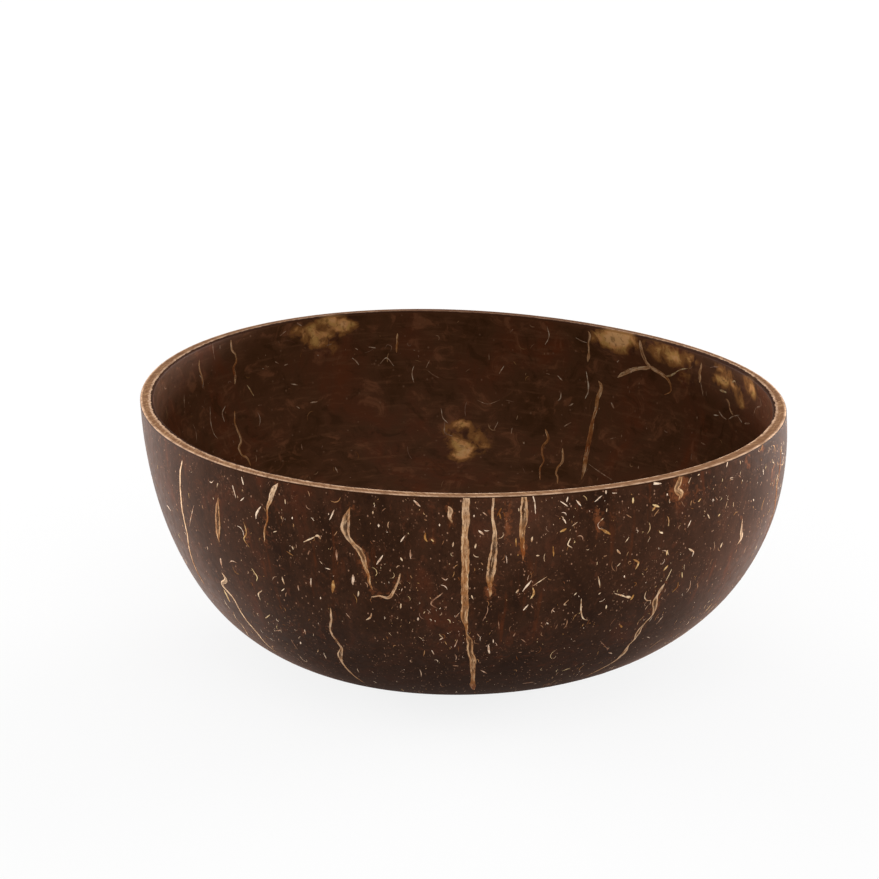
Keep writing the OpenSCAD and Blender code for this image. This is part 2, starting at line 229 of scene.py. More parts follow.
# Small fibres that the photograph shows, in groups of (tone, hue from 0, pink, to 1, yellow, and fibres).
# A fibre is its width in pixels and its pixels, x and y in turn; one pixel makes a dot.
OUTER_MARKS = [(1, 0.1, """
2 334.5 509.5 329.5 520, 1.8 405 535.5 400.5 542, 2.5 383 555 376.5 564.5,
3 413.5 500 417 503.5 420.5 506.5, 2.5 531.5 580 522.5 591.5, 2.2 528.5 604.5 523 610.5,
1.8 568 496.5 566.5 502, 1.6 560 501 568 506.5, 1.8 576 500 581 506, 1.8 602 495.5 594.5 502,
2.5 606 490.5 606 494, 2 562.5 517.5 566 523.5, 3 478.5 530.5 484 535, 1.5 533 495.5 535 504.5 535.5 514,
3 653.5 483.5 661.5 483.5, 1.6 612 493 617 493, 2 167 505 171 511, 2.5 241.5 477 243.5 485,
2 232.5 485 236 498, 3 261 506.5 256.5 513.5 256 519, 1.5 691 520 687.5 528, 1.5 244 497.5 240.5 501,
1.2 209.5 481 211 482.5 213.5 480.5, 1.8 727.5 462 726.5 467.5, 1.6 763 469 763.5 475, 4 378.5 525.5,
4 418 619, 3 439.5 525, 3 474 516, 3 667 494.5, 3 753.5 500, 3 300.5 643, 3 292.5 518, 3 624.5 576.5,
3 320.5 598, 2 325.5 568 330.5 569.5, 2.4 328.5 514"""), (0.5, 0.1, """
1.4 194 505 189.5 526.5, 2 309.5 550.5 308 555, 3 336.5 549.5 337 560.5, 4 353 574.5 353 585,
1.6 482.5 512 487.5 516, 1.3 690.5 580.5 689.5 587.5 686.5 593, 1.2 663 616 656 624.5,
1 487.5 605.5 487.5 611 483 620.5, 1.2 498.5 620.5 499 630.5, 1.5 531 605.5 533.5 608.5,
1.5 552 610 555 612, 2.5 546.5 622.5 548.5 624, 1.5 515.5 632.5 513 636.5, 1.5 521 639 526 642.5,
3 488 644.5 489.5 653.5, 1.5 493 639 493.5 643, 1.5 477 633.5 480 637, 2 480.5 670 487 673.5,
2 452.5 665.5 458.5 666, 1.6 457.5 639.5 454.5 647, 1.5 431.5 650 434 654.5,
2 443 592.5 431.5 604.5 437.5 608.5, 1.2 459.5 612.5 455 618, 1.5 439.5 640 443.5 637.5,
1.5 518.5 652.5 522 652, 1.5 530.5 651 533.5 651, 1 600 641 607.5 649, 3 607.5 649, 2 608.5 652.5 612 653.5,
3 522.5 683.5 533.5 682, 1.4 441.5 577.5 445.5 580 448 578, 2 410.5 549.5 410.5 559,
4 220.5 558 221.5 565.5, 1.5 229.5 562.5 232 561 237 563, 1.5 207 546.5 208 550, 2 304.5 629.5 305.5 634.5,
1.5 275.5 631 281.5 630, 1.5 278.5 638.5 279 640.5, 2 298 585 299 590.5, 2 311 578 311 587,
1.5 291 639.5 297.5 649.5, 1.6 372.5 541 375.5 541, 1.2 346 613 350.5 619"""), (0.72, 0.4, """
4 315.5 536.5 317.5 535.5 321 539, 2 303.5 542 315.5 536.5, 3 373 511 373 514, 2.5 400.5 557.5 402.5 561,
2 358.5 591 358 596.5, 2 401 603.5 400.5 608.5, 2.5 371.5 613 370.5 617 366 620, 2 424 519.5 427 520.5,
1.6 518.5 508 519 511.5, 2 453.5 542 452.5 547, 2.5 532.5 536.5 531.5 542, 3 536 555.5 539.5 555.5,
2.5 519 589 516 593, 1.3 547 576.5 533 586, 1.6 481 562.5 483 565, 2 471.5 595 473 599,
1.6 476 501.5 475 503.5, 2.5 476 543.5 475 548.5, 1.8 598 576 599 579.5 600 588,
2.4 614.5 593.5 623.5 596 629 598.5, 5 625 596.5 631 597.5,
2 581.5 598.5 581 606.5 581.5 613.5 584.5 619.5 588 620, 2.2 598.5 594.5 601 592.5,
1.5 646.5 591 644.5 597 647 600.5 651 600.5, 2 606.5 605 606 609, 1.5 669.5 498.5 669 503,
1.5 607 508 606.5 512, 1.5 626 514.5 631.5 517.5, 1.5 603.5 518 600.5 521, 1.2 577.5 522 572 526,
1.8 570.5 538 568 545 572 547.5, 1.5 629 537 625 542.5, 3 659.5 532 663 533.5, 3 617 549.5 620.5 554,
1.5 603.5 556.5 607 555.5, 1.5 617 566.5 620.5 563, 1.5 577 592.5 574 595.5,
1.5 569 599.5 564.5 605 567 605, 1.5 218 483 217 487.5, 1.5 273.5 532 277 531, 1.8 285 499 285.5 504,
2.5 292 546 293.5 549.5, 2 262 590.5 258.5 594.5 260.5 600.5, 2.5 282 576.5 284.5 584.5,
1.5 281.5 591 284.5 588.5, 2.2 233.5 612 236 618 242 625 247 633 249 636.5, 1.5 740 460.5 740.5 464.5,
2 742.5 480.5, 2 750 482, 3 697.5 475.5 699.5 474, 1.3 691 477 688.5 483.5, 1.5 733.5 502 733.5 507,
1.5 707.5 514 709.5 518.5, 2.5 688.5 548.5 694 552, 2.5 720 548 722 542.5"""), (0.7, 0.9, """
5 333.5 580 332.5 593, 3 652.5 504.5 659.5 507, 3 656 506 652 511, 4 633 497.5 633 503.5,
3 633.5 559.5 638.5 563 635.5 569.5, 3 666.5 555.5 667.5 550, 3 663.5 571 668 565, 1.5 682 572 682 578,
2 243.5 521.5 246.5 533.5 244 539 249.5 547.5, 1.5 286.5 551 293.5 556,
2 251.5 568 254.5 572.5 257 576.5 256.5 581, 4 224 589.5 226.5 594.5 230 602, 2.5 698 502 701 498.5,
3 718 516.5 720 514, 3 532.5 587.5 534 593 530.5 599, 3 431 539 434 542"""), (0.3, 1, """
3 425.5 532.5 425 537.5 427.5 542, 2.5 501.5 508 497 516, 2.2 499.5 513 501 519,
3.5 600 528.5 605 531 610.5 534.5, 3.5 560 532 566.5 528.5, 3 619.5 624.5 622 627.5, 4 630.5 600 634 594.5,
2 678 582 677.5 586.5 672 592.5, 2 553 546 553.5 556.5, 2 762.5 444 760.5 451, 2.2 518 555,
2 516 538 516 547, 2 774.5 464 772 471.5, 2 775.5 477 772.5 489""")]
INNER_MARKS = [(0.5, 0.2, """
1.5 199.5 375 203 380 203 388, 1.6 212.5 343 213.5 352 215 360, 1.6 220 345 220 349, 2.5 184 394 184.5 408,
2.5 193 424 196 432 196.5 443, 2 210 406 211.5 426 213.5 433 218 439, 2 225.5 406 222.5 413 224.5 422,
1.4 258 405.5 262 405, 1.6 275 361.5 279 364, 1.6 284 365.5 288 364, 2 291 384 298 385,
2.5 310 403 318 401.5, 1.8 296.5 406.5 300 408.5, 1.8 280 336 286 331, 2 297 323 302 326, 3 257 451,
2 301.5 444 302.5 450, 1.5 575.5 337.5 581.5 341 587.5 343, 2.4 586 371 587.5 379 588 392 585 399,
1.5 588.5 464 598 471 612 480, 3 611 402.5 614 408.5, 3.4 629.5 391.5, 2.4 646.5 428.5, 3.4 621.5 436,
1.8 610 439 616 437.5, 2.4 639 383.5, 1.8 617 362.5 619 360, 2 557.5 375.5 562.5 381,
1.4 546 373.5 550 374.5, 2.2 561 392 560.5 398 557.5 401, 2 568.5 406 573.5 403.5, 2.2 564 426.5 571 422.5,
3.4 561.5 441, 3 524 443, 3.4 638.5 467.5, 1.5 710 367.5 714 367 718.5 367,
2 728 419.5 733 416.5 739.5 415, 2 737.5 416 742 422.5, 2.4 718.5 410.5 722 416 726.5 419.5,
2 713.5 415 718.5 415.5, 3 744.5 423.5 749.5 423.5, 2 759.5 397.5 761 403.5 755.5 409 753 416,
3.4 697 417.5, 2.4 701 442.5 705.5 445, 2.4 679.5 448.5, 2 700.5 382 703 396, 1.8 414 366 412 374 414 383,
1.4 477 400 487 404 500 400, 1.6 430 360 426 368, 1.6 489 353 489 360, 1.8 504 366 499 374,
1.4 441 408 443 418 448 423, 1.4 498 422 494 430, 1.6 512 428 511 434, 2 335 467 338 473,
1.6 547 326 549 336 545 345, 2 352 358 356 361 359 365, 1.6 380 364 386 358 394 366, 1.6 368 347 376 348,
2 355 348 358 350, 2 445 420 444.5 426 445 433 449.5 435 453 436.5, 1.6 325 346 332 344"""), (0.7, 0.8, """
3.4 665.5 376.5 672 375 677 371.5, 2 675.5 372 681 369.5 688 368.5, 2.5 247 385 251 391 254 396,
2.5 731.5 383 735 381.5 736.5 385.5, 4 719.5 390 726.5 392.5, 2.4 234 368 236 376""")]

# Stained patches: pixels of the middle, half width and half height in pixels, and strength. The second
# table holds patches of painted light, where the outside is a little warmer and lighter all over.
OUTER_PATCHES = rows_of("""
508 520 3.5 22 1, 597 522 2.5 14 .9, 748 461 3 9 .8, 773 476 2.5 12 .5, 364 560 4 14 .7, 266 530 3 12 .3,
523 548 4 12 .5, 680 488 7 10 .7, 490 590 4 8 .5, 247 535 4 9 .6, 431 541 6 5 .6,
655 606 5 10 .5, 333 587 4 8 .5, 762 448 3 6 .7, 636 563 5 6 .4, 690 492 40 16 .3, 610 520 30 22 .25,
720 515 16 20 .25""")
PAINTED_LIGHT_PATCHES = rows_of("""
520 520 38 48 .42, 620 545 45 40 .2, 730 545 30 30 .2""")
INNER_PATCHES = rows_of("""
330 321 11 5 1.2, 343 325 7 7 1.2, 310 333 6 7 1.2, 326 333 11 5 1, 297 332 7 6 .5, 354 325 5 6 .5,
314 344 8 5 .7, 330 348 9 8 .35, 616 340 12.5 8 2.9, 628 337 6 6 .7, 594 336 6 6 .3, 470 438 24 14 .3,
655 347 12 7 .4, 668 353 16 8 .4, 675 359 9 5 1, 688 358 9 6 .45, 672 363 12 4 .4,
686 379 8 5 .6, 718 380 6 4 .7, 724 370 12 5 .35, 726 382 6 4 .5, 738 392 4 6 .5,
733 386 8 6 .35, 750 384 5 9 .5, 754 392 4 7 .4, 741 403 4 5 .5,
461 424 7 3 1, 453 443 4 4 1.1, 462 446 6 5 1.2, 468 451 4 4 1.2, 460 455 9 6 1, 482 448 5 3 .6,
446 432 3 8 .4""")


def plan_radius(a):
    """Radius of the rim's outer edge: an oval with three low seams."""
    oval = (RIM_LONG - RIM_SHORT) / 4 * np.cos(2 * (a - OVAL_TURN))
    return MEAN_R + oval + SEAM_RISE * np.cos(3 * (a - SEAM_TURN))


def wall_at(a):
    return WALL + WALL_SWING * np.cos(2 * a)


def profile_share(z, pole_z):
    """Share of the rim's radius that a face has at height z, when its end is at pole_z."""
    fall = np.clip((BELLY_Z - z) / (BELLY_Z - pole_z), 0, 1)
    return (1 - fall ** 2) ** (1 / FULLNESS)


def face_radius(a, z, inner):
    """Distance of the smooth outer or inner face from the middle of the level section at height z."""
    if inner:
        return (plan_radius(a) - wall_at(a)) * profile_share(z, FLOOR_T)
    return plan_radius(a) * profile_share(z, -FOOT_GRIND)


def centre_x(z):
    return RIM_SHIFT * z / BOWL_H + BELLY_SHIFT * np.sin(math.pi * z / BOWL_H)


def at(a, r, z):
    a, r, z = np.broadcast_arrays(a, r, z)
    return np.stack([centre_x(z) + r * np.cos(a), r * np.sin(a), z], -1)


def relief(a, z):
    """Unevenness left by hand sanding. It fades out at the rim and at the foot."""
    waves = (0.5 * np.sin(5 * a + z / 9) + 0.5 * np.sin(8 * a - z / 6 + 1)
             + 0.35 * np.sin(13 * a + z / 5 + 2) + 0.3 * np.sin(z / 4 + 3 * np.sin(3 * a)))
    return RELIEF_H * waves * np.sin(math.pi * np.clip(z / BOWL_H, 0, 1))


def outer_point(a, z):
    return at(a, face_radius(a, z, False) + relief(a, z), z)


def inner_point(a, z):
    return at(a, face_radius(a, z, True) + relief(a + 1, z) * profile_share(z, FLOOR_T), z)


def grid_faces(rows, columns, closed):
    """Quads of a grid of points. Where it is closed, each row ends where it starts."""
    here = np.arange(rows * columns).reshape(rows, columns)
    ahead = np.roll(here, -1, axis=1)
    quads = np.stack([here[:-1], ahead[:-1], ahead[1:], here[1:]], -1)
    return (quads if closed else quads[:, :-1]).reshape(-1, 4)


def add_object(name, data):
    piece = bpy.data.objects.new(name, data)
    bpy.context.collection.objects.link(piece)
    return piece


def new_piece(name, points, faces, attributes, materials, face_slots=()):
    """A smooth mesh in metres that rides on the bowl. Attributes are numbers or vectors at its points."""
    mesh = bpy.data.meshes.new(name)
    mesh.from_pydata((points * MM).tolist(), [], [list(map(int, face)) for face in faces])
    for key, values in attributes.items():
        values = np.asarray(values, dtype=float)
        kind, field = ("FLOAT_VECTOR", "vector") if values.ndim == 2 else ("FLOAT", "value")
        mesh.attributes.new(key, kind, "POINT").data.foreach_set(field, values.ravel())
    mesh.shade_smooth()
    for material in materials:
        mesh.materials.append(material)
    if face_slots:
        mesh.polygons.foreach_set("material_index", face_slots)
    piece = add_object(name, mesh)
    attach(piece, "root")
    return piece


def place_of_pixel(x, y, inner):
    """Azimuth and height of the outer or inner face where the camera sees a pixel of the photograph."""
    level = math.cos(CAMERA_DOWN_ANGLE)
    forward = (-math.sin(CAMERA_TURN) * level, math.cos(CAMERA_TURN) * level, -math.sin(CAMERA_DOWN_ANGLE))
    right = np.cross(forward, (0, 0, 1))
    right /= np.linalg.norm(right)
    ray = forward + (right * (x - PICTURE / 2) + np.cross(forward, right) * (y - PICTURE / 2)) / FOCAL_PIXELS
    along = np.arange(CAMERA_DISTANCE - 1.5 * MEAN_R, CAMERA_DISTANCE + 1.5 * MEAN_R, RAY_STEP)
    spots = CAMERA_PLACE + along[:, None] * ray / np.linalg.norm(ray)
    z = spots[:, 2]
    off = spots[:, 0] - centre_x(z)
    a = np.arctan2(spots[:, 1], off)
    inside = (np.hypot(off, spots[:, 1]) < face_radius(a, z, inner)) & (z < BOWL_H)
    hits = np.flatnonzero(inside & (z > (FLOOR_T if inner else 0)))
    hit = hits[-1 if inner else 0]
    return a[hit], z[hit]


def srgb(*levels):
    """A colour as a screen shows it, from 0 to 255, as the linear colour that Blender takes."""
    shares = [level / 255 for level in levels]
    return (*(s / 12.92 if s <= 0.04045 else ((s + 0.055) / 1.055) ** 2.4 for s in shares), 1)


SHELL_EDGE = srgb(54, 29, 14)


class Nodes:
    """Short ways to add shader nodes to a new material or world. base is its colour so far. Colours are
    given as a screen shows them, from 0 to 255, and come out times dim."""

    def __init__(self, name, dim=1, owners=bpy.data.materials):
        self.owner = owners.new(name)
        self.owner.use_nodes = True
        self.tree = self.owner.node_tree
        self.dim = dim
        self.base = None

    def put(self, socket, value):
        if isinstance(value, bpy.types.NodeSocket):
            self.tree.links.new(value, socket)
        else:
            socket.default_value = value

    def add(self, kind, inputs, **settings):
        """A new node, with its inputs by number or name."""
        node = self.tree.nodes.new("ShaderNode" + kind)
        for name, value in settings.items():
            setattr(node, name, value)
        for key, value in inputs.items():
            self.put(node.inputs[key], value)
        return node

    def finish(self, gloss, **inputs):
        """Sets the inputs of the material's shader."""
        shader = self.tree.nodes["Principled BSDF"]
        for name, value in {"Base_Color": self.base, "Specular_IOR_Level": gloss, **inputs}.items():
            self.put(shader.inputs[name.replace("_", " ")], value)
        return self.owner

    def attribute(self, name, output="Fac"):
        return self.add("Attribute", {}, attribute_name=name).outputs[output]

    def stretch(self, vector, *factors):
        return self.add("VectorMath", {0: vector, 1: factors}, operation="MULTIPLY").outputs[0]

    def noise(self, vector, scale, detail=3, roughness=0.5, distortion=0):
        inputs = {"Vector": vector, "Scale": scale, "Detail": detail, "Roughness": roughness}
        return self.add("TexNoise", {**inputs, "Distortion": distortion}).outputs["Fac"]

    def maths(self, operation, a, b=0):
        return self.add("Math", {0: a, 1: b}, operation=operation).outputs[0]

    def times(self, a, b):
        return self.maths("MULTIPLY", a, b)

    def plus(self, a, b):
        return self.maths("ADD", a, b)

    def fade(self, value, low, high, start=0, end=1):
        """start where value is at low, end where it is at high, and smooth between."""
        inputs = {"Value": value, "From Min": low, "From Max": high, "To Min": start, "To Max": end}
        return self.add("MapRange", inputs, interpolation_type="SMOOTHSTEP").outputs["Result"]

    def swing(self, noise, size):
        """A noise as a swing from -size to size."""
        return self.fade(noise, 0.3, 0.7, -size, size)

    def mix(self, factor, a, b, blend="MIX"):
        return self.add("Mix", {0: factor, 6: a, 7: b}, data_type="RGBA", blend_type=blend).outputs[2]

    def colour(self, *levels):
        return srgb(*(self.dim * level for level in levels))

    def paint(self, share, *levels, blend="MIX"):
        """Lays a share of a colour over the base."""
        self.base = self.mix(share, self.base, self.colour(*levels), blend)

    def tint(self, value, low, high, share, *levels):
        """Lays a colour over the base: none where value is at low, rising to share at high."""
        self.paint(self.fade(value, low, high, 0, share), *levels)

    def ramp(self, factor, *stops):
        """A base that runs through colours. A stop is its place on the factor and its colour."""
        node = self.add("ValToRGB", {"Fac": factor})
        elements = node.color_ramp.elements
        while len(elements) < len(stops):
            elements.new(0.5)
        for element, (place, *levels) in zip(elements, stops):
            element.position = place
            element.color = self.colour(*levels)
        self.base = node.outputs["Color"]
        return self.base

    def spots(self, vector, scale, edge, middle, low, high):
        """Round spots in cells, in only some of the cells."""
        cells = self.add("TexVoronoi", {"Vector": vector, "Scale": scale}).outputs
        chosen = self.fade(self.maths("FRACT", self.times(cells["Color"], 7)), low, high)
        return self.times(self.fade(cells["Distance"], edge, middle), chosen)

    def torn_patch(self, noise, size):
        """The stained patches of a face, with edges torn by a noise."""
        patch = self.attribute("patch")
        return self.times(self.plus(patch, self.swing(noise, size)), self.fade(patch, 0.04, 0.3))

    def bump(self, height, distance, strength, **below):
        inputs = {"Height": height, "Distance": distance * MM, "Strength": strength, **below}
        return self.add("Bump", inputs).outputs["Normal"]

    def shown_as_background(self):
        """1 for rays that show the background: from the camera, or through gloss or glass."""
        path = self.add("LightPath", {}).outputs
        total = self.maths("MAXIMUM", path["Is Camera Ray"], path["Is Glossy Ray"])
        return self.maths("MAXIMUM", total, path["Is Transmission Ray"])


def outer_material():
    """Polished outside: dark brown with red-brown clouds, upright streaks, stains and small pale specks,
    with painted shade towards the foot and patches of painted light.
    """
    n = Nodes("polished_shell_outside")
    grain = n.attribute("grain", "Vector")
    n.ramp(n.noise(n.stretch(grain, 1, 1, 0.6), 0.085, 4, 0.62, 0.5),
           (0.3, 38, 20, 9), (0.44, 48, 27, 14), (0.57, 56, 33, 20), (0.7, 72, 37, 21))
    streaks = n.noise(n.stretch(grain, 1, 1, 0.12), 0.42, 3, 0.55)
    local = n.fade(n.noise(grain, 0.04, 2), 0.42, 0.6)
    n.paint(n.times(n.fade(streaks, 0.56, 0.74, 0, 0.6), local), 92, 43, 16)
    n.paint(n.times(n.fade(streaks, 0.44, 0.3, 0, 0.5), local), 34, 18, 8)
    n.tint(n.torn_patch(n.noise(grain, 0.9, 4, 0.65, 0.5), 0.4), 0.25, 0.95, 0.85, 112, 62, 34)
    blots = n.noise(grain, 0.45, 4, 0.65, 0.6)
    n.tint(blots, 0.56, 0.72, 0.55, 84, 46, 28)
    n.tint(blots, 0.48, 0.32, 0.5, 32, 17, 8)
    fine = n.noise(n.stretch(grain, 1, 1, 0.7), 1.3, 5, 0.65)
    fine_here = n.fade(n.noise(grain, 0.16, 3), 0.42, 0.6, 0.2, 1)
    n.paint(n.times(n.fade(fine, 0.56, 0.74, 0, 0.8), fine_here), 104, 68, 48)
    n.tint(fine, 0.46, 0.28, 0.45, 28, 15, 7)
    # Painted light: broad patches of added light over the front and right side
    n.paint(n.attribute("painted_light"), 68, 43, 32, blend="ADD")
    low = n.attribute("low")
    # Painted shade: the base darkens towards the foot, most on one side
    n.tint(low, 0, 0.85, 0.75, 27, 15, 9)
    warped = n.mix(0.05, grain, n.noise(grain, 1.6, 2), "ADD")
    specks = n.spots(n.stretch(warped, 1, 1, 0.7), 0.95, 0.2, 0.1, 0.58, 0.85)
    n.paint(n.times(specks, 0.8), 166, 124, 98)
    crumbs = n.spots(n.stretch(warped, 1, 1, 0.8), 1.8, 0.26, 0.12, 0.4, 0.8)
    crumbs = n.times(crumbs, n.fade(n.noise(grain, 0.25, 3), 0.46, 0.6))
    n.paint(n.times(crumbs, 0.75), 140, 98, 74)
    rough = n.plus(n.fade(n.noise(grain, 0.5, 4), 0.3, 0.7, 0.32, 0.44), n.fade(low, 0, 0.8, 0, 0.5))
    normal = n.bump(n.noise(n.stretch(grain, 1, 1, 0.35), 2.2, 4, 0.6), 0.02, 0.5)
    normal = n.bump(specks, 0.03, 0.5, Normal=normal)
    return n.finish(SHELL_GLOSS, Roughness=rough, Normal=normal, Sheen_Weight=SHEEN, Sheen_Roughness=0.4,
                    Sheen_Tint=srgb(222, 182, 164))


def inner_material():
    """Smooth inside: mottled brown, with ragged pale patches, and faint level lines whose lighter colour is
    painted sheen.
    """
    n = Nodes("smooth_shell_inside")
    grain = n.attribute("grain", "Vector")
    n.ramp(n.noise(n.stretch(grain, 1, 1, 0.8), 0.06, 4, 0.6, 0.5),
           (0.32, 46, 25, 11), (0.46, 60, 35, 21), (0.56, 64, 34, 20), (0.7, 74, 34, 17))
    lines_and_sheen = n.noise(n.stretch(grain, 0.12, 0.12, 1), 0.9, 4, 0.6)
    # Painted sheen: the faint level lines are lighter in colour
    n.tint(lines_and_sheen, 0.5, 0.72, 0.5, 84, 53, 35)
    soft = n.noise(n.stretch(grain, 0.8, 0.8, 1), 0.2, 5, 0.65, 0.9)
    n.tint(soft, 0.53, 0.7, 0.7, 96, 58, 38)
    n.tint(soft, 0.47, 0.32, 0.65, 38, 20, 8)
    ragged = n.torn_patch(n.noise(grain, 0.32, 4, 0.55, 0.5), 0.45)
    n.tint(ragged, -0.1, 0.5, 0.9, 112, 72, 37)
    tan = n.mix(n.fade(n.noise(grain, 0.4, 3), 0.4, 0.6), srgb(172, 120, 72), srgb(156, 116, 64))
    n.base = n.mix(n.fade(ragged, 0.45, 1.1, 0, 0.95), n.base, tan)
    n.tint(ragged, 1.1, 1.7, 0.7, 184, 140, 94)
    shade = n.noise(grain, 0.7, 3, 0.55, 0.4)
    n.paint(n.times(n.fade(shade, 0.48, 0.34, 0, 0.5), n.fade(ragged, 0, 0.6)), 70, 40, 18)
    n.paint(n.times(n.spots(grain, 0.5, 0.2, 0.05, 0.6, 0.9), 0.5), 112, 80, 60)
    normal = n.bump(n.noise(n.stretch(grain, 0.3, 0.3, 1), 1.6, 4, 0.6), 0.02, 0.5)
    return n.finish(INNER_GLOSS, Roughness=n.fade(lines_and_sheen, 0.3, 0.7, 0.42, 0.54), Normal=normal)


def rim_material():
    """Sawn and sanded lip: bare tan shell with fine slanting grain, paler along its two edges, between
    rounded edges that have the colour of the faces."""
    n = Nodes("sawn_shell_rim")
    grain = n.attribute("grain", "Vector")
    inset = n.attribute("inset")
    margin = n.plus(n.attribute("margin"), n.swing(n.noise(grain, 0.8, 3), 0.15))
    run = n.plus(n.attribute("run"), n.times(inset, 0.9))
    slanted = n.add("CombineXYZ", {0: run, 1: n.times(inset, 0.25)}).outputs[0]
    hatch = n.noise(slanted, 1.7, 3, 0.6, 0.2)
    lines = n.maths("MAXIMUM", n.fade(inset, 0.75, 0.4), n.fade(margin, 0.75, 0.35))
    lines = n.times(lines, n.fade(n.noise(grain, 0.35, 3), 0.35, 0.6, 0.3, 1))
    n.base = n.mix(lines, srgb(130, 92, 64), srgb(208, 170, 140))
    n.tint(hatch, 0.52, 0.7, 0.75, 186, 146, 106)
    n.tint(hatch, 0.47, 0.3, 0.8, 98, 64, 40)
    threads = n.noise(n.stretch(grain, 0.25, 0.25, 6), 0.8, 3, 0.6)
    n.tint(threads, 0.52, 0.7, 0.4, 190, 150, 112)
    n.tint(threads, 0.45, 0.3, 0.5, 100, 66, 44)
    # The lip darkens, most towards the back
    n.paint(n.times(n.attribute("lip_darkening"), 0.9), 74, 44, 28)
    bare = n.times(n.fade(inset, 0.06, 0.2), n.fade(margin, -0.08, 0.12))
    stained = n.fade(n.attribute("patch"), 0.1, 0.8, 0, 0.9)
    n.base = n.mix(bare, n.mix(stained, srgb(50, 27, 14), srgb(128, 90, 52)), n.base)
    return n.finish(INNER_GLOSS, Roughness=0.65, Normal=n.bump(hatch, 0.05, 0.6))


def foot_material():
    """Ground foot: the same shell, dull, with fine scratches from the grinding."""
    n = Nodes("ground_shell_foot")
    grain = n.attribute("grain", "Vector")
    n.ramp(n.noise(grain, 0.12, 4, 0.6), (0.35, 58, 38, 28), (0.5, 74, 50, 36), (0.68, 96, 66, 46))
    scratches = n.noise(n.stretch(grain, 6, 0.35, 1), 0.8, 3, 0.6)
    n.tint(scratches, 0.5, 0.72, 0.35, 128, 94, 68)
    n.paint(n.times(n.spots(grain, 0.6, 0.2, 0.1, 0.2, 0.5), 0.5), 140, 102, 72)
    return n.finish(SHELL_GLOSS, Roughness=0.6, Normal=n.bump(scratches, 0.03, 0.5))


def fibre_material(name, dim):
    """Fibre strands: fine threads, pale at the sides, and here and there a dark fibrous middle."""
    n = Nodes(name, dim)
    fibre = n.attribute("fibre", "Vector")
    side = n.maths("ABSOLUTE", n.attribute("across"))
    threads = n.noise(n.stretch(fibre, 2.6, 0.3, 1), 1, 4, 0.75, 0.4)
    dashes = n.noise(n.stretch(fibre, 2.8, 0.9, 1), 1, 4, 0.65, 0.3)
    n.ramp(n.attribute("tone"),
           (0, 130, 68, 30), (0.35, 156, 100, 54), (0.7, 184, 138, 98), (1, 222, 186, 152))
    n.tint(threads, 0.52, 0.66, 0.75, 232, 196, 152)
    n.tint(threads, 0.48, 0.36, 0.85, 104, 62, 32)
    n.tint(dashes, 0.44, 0.33, 0.85, 76, 43, 22)
    ragged = n.plus(side, n.swing(n.noise(n.stretch(fibre, 0.5, 0.5, 1), 1, 3), 0.15))
    middle = n.times(n.fade(ragged, 0.6, 0.42), n.attribute("extra"))
    middle = n.times(middle, n.fade(threads, 0.64, 0.5, 0.25, 1))
    n.paint(n.times(middle, 0.9), 58, 32, 16)
    n.base = n.mix(n.fade(side, 0.88, 1.1), n.base, SHELL_EDGE)
    normal = n.bump(n.fade(ragged, 0.42, 0.6), 0.08, 0.6, Normal=n.bump(threads, 0.08, 0.8))
    return n.finish(SHELL_GLOSS, Roughness=0.58, Normal=normal)


def fleck_material(name, dim):
    """Small fibres: pinkish or yellowish, pale or dim, and darker towards their edges."""
    n = Nodes(name, dim)
    fibre = n.attribute("fibre", "Vector")
    tone = n.attribute("tone")
    pink = n.ramp(tone, (0, 98, 58, 41), (0.5, 178, 136, 110), (1, 246, 218, 192))
    yellow = n.ramp(tone, (0, 116, 64, 24), (0.5, 180, 130, 72), (1, 232, 200, 142))
    n.base = n.mix(n.attribute("extra"), pink, yellow)
    threads = n.noise(n.stretch(fibre, 4, 1.5, 1), 1, 3, 0.6, 0.4)
    n.tint(threads, 0.5, 0.32, 0.6, 104, 64, 42)
    edge = n.fade(n.maths("ABSOLUTE", n.attribute("across")), 0.6, 1.12, 0, 0.8)
    n.base = n.mix(edge, n.base, SHELL_EDGE)
    return n.finish(SHELL_GLOSS, Roughness=0.55, Normal=n.bump(threads, 0.04, 0.5))


def shell_rows():
    """Rows of the shell from the middle of the foot, up the outside, over the rim and down the inside.
    Each is its points, its part and, on the rim, how far in from the edge it lies."""
    a = AROUND
    outer_r = plan_radius(a)
    wall = wall_at(a)
    rows = []

    def add(points, part, inset=0):
        rows.append((points, part, np.broadcast_to(inset, COLUMNS)))

    foot_r = face_radius(a, 0, False) - FOOT_EASE
    for share in np.linspace(FIRST_FOOT_ROW, 1, FOOT_ROWS):
        add(at(a, foot_r * share, 0), "foot")
    foot_angle = math.asin(BELLY_Z / (BELLY_Z + FOOT_GRIND))
    for turn in np.linspace(foot_angle, 0, OUTER_ROWS):
        z = BELLY_Z - (BELLY_Z + FOOT_GRIND) * math.sin(turn)
        add(outer_point(a, max(z, FOOT_EASE / 4)), "outer")
    band = np.linspace(BELLY_Z, BOWL_H - RIM_EASE, BAND_ROWS)
    for z in band[1:]:
        add(outer_point(a, z), "outer")
    quarter = np.linspace(0, math.pi / 2, EASE_ROWS)
    for turn in quarter[1:]:
        inset = RIM_EASE * (1 - math.cos(turn))
        add(at(a, outer_r - inset, BOWL_H - RIM_EASE * (1 - math.sin(turn))), "rim", inset)
    for share in np.linspace(0, 1, LIP_ROWS)[1:-1]:
        inset = RIM_EASE + share * (wall - 2 * RIM_EASE)
        add(at(a, outer_r - inset, BOWL_H), "rim", inset)
    for turn in quarter[:-1]:
        inset = wall - RIM_EASE * (1 - math.sin(turn))
        add(at(a, outer_r - inset, BOWL_H - RIM_EASE * (1 - math.cos(turn))), "rim", inset)
    for z in band[:0:-1]:
        add(inner_point(a, z), "inner", wall)
    for turn in np.linspace(0, math.pi / 2, INNER_ROWS)[:-1]:
        add(inner_point(a, BELLY_Z - (BELLY_Z - FLOOR_T) * math.sin(turn)), "inner")
    return rows


